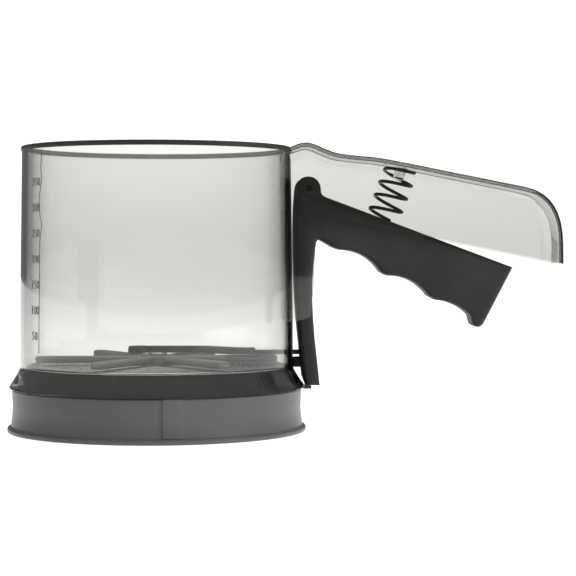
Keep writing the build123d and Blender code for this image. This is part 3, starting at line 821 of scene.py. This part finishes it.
def on_panel(face):
    """True for the outer faces of the three grip panels."""
    middle = face.calc_center_median() / MM
    angle = math.degrees(math.atan2(middle.y, middle.x)) - PANEL_ANGLE
    off = (angle + 60) % 120 - 60
    outer = math.hypot(middle.x, middle.y) > 59.5
    return outer and 2.3 < middle.z < 17.5 and abs(off) < 1.4 * 360 / CAP_SEGMENTS


print("panel faces", choose("FACE", on_panel))
bpy.ops.mesh.extrude_region_shrink_fatten(
    TRANSFORM_OT_shrink_fatten={"value": PANEL_RISE * MM, "use_even_offset": True}
)


def in_bore(vertex):
    """True for a vertex of the small bore in the floor."""
    return math.hypot(vertex.co.x, vertex.co.y) < 2.5 * MM


choose("FACE", lambda face: all(in_bore(v) for v in face.verts))
bpy.ops.mesh.delete(type="FACE")
for ring_height in (0.25, 1.8):
    choose("VERT", lambda v: in_bore(v) and abs(v.co.z - ring_height * MM) < 0.1 * MM)
    bpy.ops.mesh.merge(type="CENTER")
clear_selection()
panel_reach = max(
    math.hypot(v.co.x, v.co.y) for v in cap.data.vertices if 0.009 < v.co.z < 0.0105
)
print("panels stand out to radius", round(panel_reach / MM, 2))
soften(cap, 0.28, 2, 32)
finished(cap, grey, "cap", ("base_cap",), angle=40)

# %% [markdown]
# ## The paddles
# Six flat arms sweep flour over the weave. One arm starts as a box from hub to tip; its tip is
# widened and its corners are rounded. The other five are copies turned about the middle. Hub,
# crank boss and peg are turned parts, and a union makes the whole thing one moulding.

# %% Arms, hub and crank
ARM_END = 50.9
CRANK_PLACE = (-8.344, 12.465)
hub = turned(
    "paddle_wheel",
    [(2.06, 27.7), (7.0, 27.7), (7.4, 28.1), (7.4, 30.6), (6.95, 31.05), (2.06, 31.05)],
    segments=48,
)
for arm_number in range(6):
    arm = block("arm", (4.0, -1.8, 28.3), (ARM_END, 1.8, 31.05))
    edit(arm)
    choose("VERT", lambda v: v.co.x > 40 * MM)
    bpy.ops.transform.resize(value=(1, 6.6 / 3.6, 1), center_override=(ARM_END * MM, 0, 29 * MM))
    choose("EDGE", lambda e: all(v.co.x > 50 * MM for v in e.verts)
           and abs(e.verts[0].co.z - e.verts[1].co.z) > 1 * MM)
    bpy.ops.mesh.bevel(offset=2.8 * MM, segments=8, affect="EDGES")
    clear_selection()
    soften(arm, 1.0, 4)
    arm.rotation_euler = (0, 0, math.radians(3.8 + 60 * arm_number))
    settle(arm)
    combine(hub, arm)
crank = rod("crank", 4.3, 28.3, 31.0, CRANK_PLACE)
soften(crank, 0.3)
combine(hub, crank)
combine(hub, rod("peg", 1.8, 29.0, 33.4, CRANK_PLACE, 24))
finished(hub, paddle, "paddles", ("agitator",))

# %% [markdown]
# ## The return spring
# A coil is one small circle sent round and up by the Screw modifier. It leans with the trigger's
# grip.

# %% Coil
FOOT = Vector((94.62, 0, 88.17))
COIL_RADIUS = 6.55
COIL_PITCH = 5.8
COIL_START = -124
WIRE_RADIUS = 0.72
spring_length = (SEAT - FOOT).length - 1.55
turns = spring_length / COIL_PITCH
clear_selection()
bpy.ops.mesh.primitive_circle_add(
    vertices=12, radius=WIRE_RADIUS * MM, location=(-COIL_RADIUS * MM, 0, 0),
    rotation=(math.radians(90), 0, 0),
)
coil = bpy.context.object
coil.name = "coil_spring"
settle(coil)
tool_step(
    coil, "SCREW", angle=math.radians(360 * turns), screw_offset=spring_length * MM, axis="Z",
    steps=int(36 * turns), render_steps=int(36 * turns), iterations=1,
)
edit(coil)
bpy.ops.mesh.select_mode(type="EDGE")
bpy.ops.mesh.select_all(action="SELECT")
bpy.ops.mesh.fill_holes(sides=0)
clear_selection()
coil.rotation_euler = (0, 0, math.radians(COIL_START))
settle(coil)
coil.rotation_euler = (0, TILT, 0)
coil.location = (FOOT + SPRING_AXIS * 0.75) * MM
settle(coil)
close_up(coil)
finished(coil, steel, "body", ("return_spring",), angle=60)
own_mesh(coil)

# %% [markdown]
# ## The trigger
# The trigger is a thick moulded lever: an arm beside the cup, a round head on the pivot, and a
# grip with finger grooves. Its side view is drawn by extruding one vertex from point to point, and
# the closed outline becomes a face that is extruded to the lever's width. Every long edge then
# gets a generous rounding, which is what a hand would feel.

# %% Outline of the trigger
TRIGGER_HALF = 9.0
HEAD_R = 5.3
CUSPS = [(135.2, 42.2), (114.6, 54.5), (94.3, 64.5), (74.8, 75.3)]
GROOVE = 3.4
ARM_INNER = [
    (61.95, 18.8), (60.6, 22.5), (59.8, 29.5), (59.2, 36.0), (58.3, 45.0), (57.6, 54.0),
    (57.15, 64.0), (56.9, 74.0), (56.85, 84.0), (57.05, 93.0),
]
HEAD_TURN = (180, 160, 140, 120, 100, 80, 60, 40, 20, 0)
GRIP_TOP = [(68.3, 99.2), (68.9, 98.15), (70.2, 97.3), (148.6, 68.0)]
GRIP_TIP = [(136.9, 45.4), (136.0, 43.9), (134.8, 43.1), (133.4, 43.1), (132.0, 43.9)]
ARM_OUTER = [
    (74.6, 75.9), (72.9, 76.6), (68.4, 79.3), (67.2, 79.6), (66.4, 78.6), (65.9, 75.5),
    (65.3, 70.0), (64.8, 62.0), (64.7, 55.0), (65.1, 47.0), (65.8, 38.0), (66.7, 30.0),
    (67.9, 18.8),
]

outline = list(ARM_INNER)
for degrees in HEAD_TURN:
    turn = math.radians(degrees)
    outline.append((PIVOT[0] + HEAD_R * math.cos(turn), PIVOT[1] + HEAD_R * math.sin(turn)))
outline += GRIP_TOP + GRIP_TIP
for (x0, z0), (x1, z1) in zip(CUSPS, CUSPS[1:]):
    length = math.hypot(x1 - x0, z1 - z0)
    for part in (0.07, 0.16, 0.28, 0.4, 0.5, 0.6, 0.72, 0.84, 0.93):
        if x0 > 130 and part < 0.2:
            continue
        bow = GROOVE * 4 * part * (1 - part)
        outline.append((
            x0 + (x1 - x0) * part + bow * (z1 - z0) / length,
            z0 + (z1 - z0) * part - bow * (x1 - x0) / length,
        ))
outline += ARM_OUTER


def outlined(name, points, half):
    """Plate of a given half width whose side view is the outline."""
    clear_selection()
    first = points[0]
    bpy.ops.mesh.primitive_plane_add(size=MM, location=(first[0] * MM, -half * MM, first[1] * MM))
    thing = bpy.context.object
    thing.name = name
    settle(thing)
    edit(thing)
    bpy.ops.mesh.merge(type="CENTER")
    for (x0, z0), (x1, z1) in zip(points, points[1:] + points[:1]):
        move = ((x1 - x0) * MM, 0, (z1 - z0) * MM)
        bpy.ops.mesh.extrude_vertices_move(TRANSFORM_OT_translate={"value": move})
    bpy.ops.mesh.select_all(action="SELECT")
    bpy.ops.mesh.remove_doubles(threshold=0.002 * MM)
    bpy.ops.mesh.select_all(action="SELECT")
    bpy.ops.mesh.edge_face_add()
    bpy.ops.mesh.extrude_region_move(TRANSFORM_OT_translate={"value": (0, 2 * half * MM, 0)})
    clear_selection()
    close_up(thing)
    return thing


trigger = outlined("trigger", outline, TRIGGER_HALF)
print("trigger outline points", len(outline), "faces", len(trigger.data.polygons))

# %% [markdown]
# The rim of each flat side is chosen by the tilt of its two faces and bevelled. A collar is added
# round the pivot and a stop towards the cup, and then the pin's hole, the fork for the drive link
# and the slot for its pin are cut.

# %% Rounding and cut-outs of the trigger
edit(trigger)


def side_rim(edge):
    """True for an edge between a flat side and the band that runs round it."""
    if len(edge.link_faces) != 2:
        return False
    tilt = sorted(abs(face.normal.y) for face in edge.link_faces)
    return tilt[0] < 0.5 and tilt[1] > 0.9


print("rim edges", choose("EDGE", side_rim))
bpy.ops.mesh.bevel(offset=2.3 * MM, segments=5, affect="EDGES", clamp_overlap=False)
clear_selection()


def cross_rod(name, radius, half):
    """Round bar across the pivot."""
    bar = rod(name, radius, -half, half, segments=40)
    bar.rotation_euler = (math.radians(90), 0, 0)
    bar.location = (PIVOT[0] * MM, 0, PIVOT[1] * MM)
    settle(bar)
    return bar


collar = cross_rod("collar", 4.9, 11.3)
soften(collar, 0.5, 3)
combine(trigger, collar)
stop = block("stop", (57.1, -4.0, 26.3), (63.0, 4.0, 30.3))
soften(stop, 0.4)
combine(trigger, stop)
combine(trigger, cross_rod("pin_hole", 1.55, 20), "DIFFERENCE")
combine(trigger, block("fork", (50.0, -2.9, 27.8), (65.2, 2.9, 34.8)), "DIFFERENCE")
combine(trigger, block("pin_slot", (61.8, -6.5, 29.2), (64.2, 6.5, 33.6)), "DIFFERENCE")
finished(trigger, charcoal, "trigger", ("trigger_lever",), angle=40)

# %% [markdown]
# ## CAD nodes that stay
# Pins, washers, rivet and link have the right shape already, so they keep their meshes and only
# get a finish.

# %% Finishes of the kept nodes
for node, material in {
    "drive_link": charcoal, "pivot_pin": steel, "link_pin": steel, "upper_washer": bright_steel,
    "lower_washer": bright_steel, "agitator_rivet": bright_steel,
}.items():
    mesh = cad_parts[node].data
    mesh.materials.clear()
    mesh.materials.append(material)

# %% [markdown]
# ## Floor, light and camera
# The light is a bright field: clear plastic shows its shape by its dark edges, so what is behind
# it is white at the horizon and the sky above is darker. The floor is a wide round sheet of pale
# paper with a little glow of its own, so it stays white as far as the horizon.

# %% Floor
FLOOR_RADIUS = 4.0
FLOOR_TONE = (0.42, 0.42, 0.42, 1)
FLOOR_GLOW = 0.84
clear_selection()
bpy.ops.mesh.primitive_circle_add(
    vertices=96, radius=FLOOR_RADIUS, fill_type="NGON", location=(0, 0, -0.2 * MM)
)
floor = bpy.context.object
floor.name = "floor"
settle(floor)
floor_finish, tree, shader, _ = new_finish("floor_paper")
shader.inputs["Base Color"].default_value = FLOOR_TONE
shader.inputs["Roughness"].default_value = 0.9
shader.inputs["Specular IOR Level"].default_value = 0.0
shader.inputs["Emission Color"].default_value = (1, 1, 1, 1)
shader.inputs["Emission Strength"].default_value = FLOOR_GLOW
bump(tree, shader, noise(tree, 400, 3), 0.02, 0.05 * MM)
floor.data.materials.append(floor_finish)
print("floor radius", FLOOR_RADIUS, "m")

# %% [markdown]
# The sky is a ramp over height. Light that has been reflected once finds a darker room in its
# place, as in a studio where only the backdrop is lit. That keeps a white haze off the front of
# the clear walls, so the dark lever behind them stays dark, and it deepens the glancing edges.

# %% World, white at the horizon and darker overhead
LOW_SKY = ((0.0, 1.06), (0.045, 1.26))
HIGH_SKY = ((0.30, 1.26), (0.62, 0.30))
ROOM_TONE = (0.18, 0.18, 0.185)
world = bpy.data.worlds.new("studio")
bpy.context.scene.world = world
world.use_nodes = True
tree = world.node_tree
tree.nodes.clear()
sky_out = tree.nodes.new("ShaderNodeOutputWorld")
sky = tree.nodes.new("ShaderNodeBackground")
where = tree.nodes.new("ShaderNodeTexCoord")
split = tree.nodes.new("ShaderNodeSeparateXYZ")
ramp = tree.nodes.new("ShaderNodeValToRGB")
for stop, (height, tone) in zip(ramp.color_ramp.elements, HIGH_SKY):
    stop.position = height
    stop.color = (tone, tone, tone, 1)
for height, tone in LOW_SKY:
    stop = ramp.color_ramp.elements.new(height)
    stop.color = (tone, tone, tone, 1)
room = tree.nodes.new("ShaderNodeMix")
room.data_type = "RGBA"
room.inputs["B"].default_value = (*ROOM_TONE, 1)
path = tree.nodes.new("ShaderNodeLightPath")
once = tree.nodes.new("ShaderNodeClamp")
tree.links.new(where.outputs["Generated"], split.inputs["Vector"])
tree.links.new(split.outputs["Z"], ramp.inputs["Fac"])
tree.links.new(path.outputs["Glossy Depth"], once.inputs["Value"])
tree.links.new(once.outputs["Result"], room.inputs["Factor"])
tree.links.new(ramp.outputs["Color"], room.inputs["A"])
tree.links.new(room.outputs["Result"], sky.inputs["Color"])
tree.links.new(sky.outputs["Background"], sky_out.inputs["Surface"])
print("sky stops", [(round(e.position, 3), round(e.color[0], 2)) for e in ramp.color_ramp.elements])

# %% [markdown]
# Three soft boxes shape the grey and dark parts. The two at the sides are kept out of reflections,
# because their rectangles would lie on the clear wall as hard patches. Only the one overhead may
# be seen in them, and it gives the paddles and the rim a soft top light.


# %% Soft boxes
def soft_box(name, place, size, power, mirrored=False):
    """Area light that looks at the middle of the sifter, seen in reflections if mirrored."""
    clear_selection()
    bpy.ops.object.light_add(type="AREA", location=place)
    lamp = bpy.context.object
    lamp.name = name
    lamp.data.shape = "RECTANGLE"
    lamp.data.size, lamp.data.size_y = size
    lamp.data.energy = power
    lamp.visible_glossy = mirrored
    lamp.visible_transmission = False
    aim = Vector((0.04, 0, 0.06)) - Vector(place)
    lamp.rotation_euler = aim.to_track_quat("-Z", "Y").to_euler()
    print(name, power, "W")
    return lamp


soft_box("box_left", (-1.5, -0.5, 0.9), (1.0, 1.4), 12)
soft_box("box_right", (1.5, -0.8, 0.7), (1.0, 1.2), 44)
soft_box("box_top", (0.1, 0.5, 1.3), (1.6, 0.9), 10, mirrored=True)

# %% [markdown]
# The camera stands in front of the cup, a little below its rim, and looks slightly down. A long
# lens keeps the perspective calm.

# %% Camera
CAMERA_PLACE = (28 * MM, -736 * MM, 76.5 * MM)
LOOK_DOWN = 1.34
LOOK_RIGHT = 2.09
clear_selection()
bpy.ops.object.camera_add(
    location=CAMERA_PLACE,
    rotation=(math.radians(90 - LOOK_DOWN), 0, math.radians(-LOOK_RIGHT)),
)
camera = bpy.context.object
camera.data.lens = 109.5
camera.data.sensor_width = 36
camera.data.clip_start = 0.01
bpy.context.scene.camera = camera
bpy.context.scene.view_settings.view_transform = "Standard"
print("camera lens", camera.data.lens, "mm")
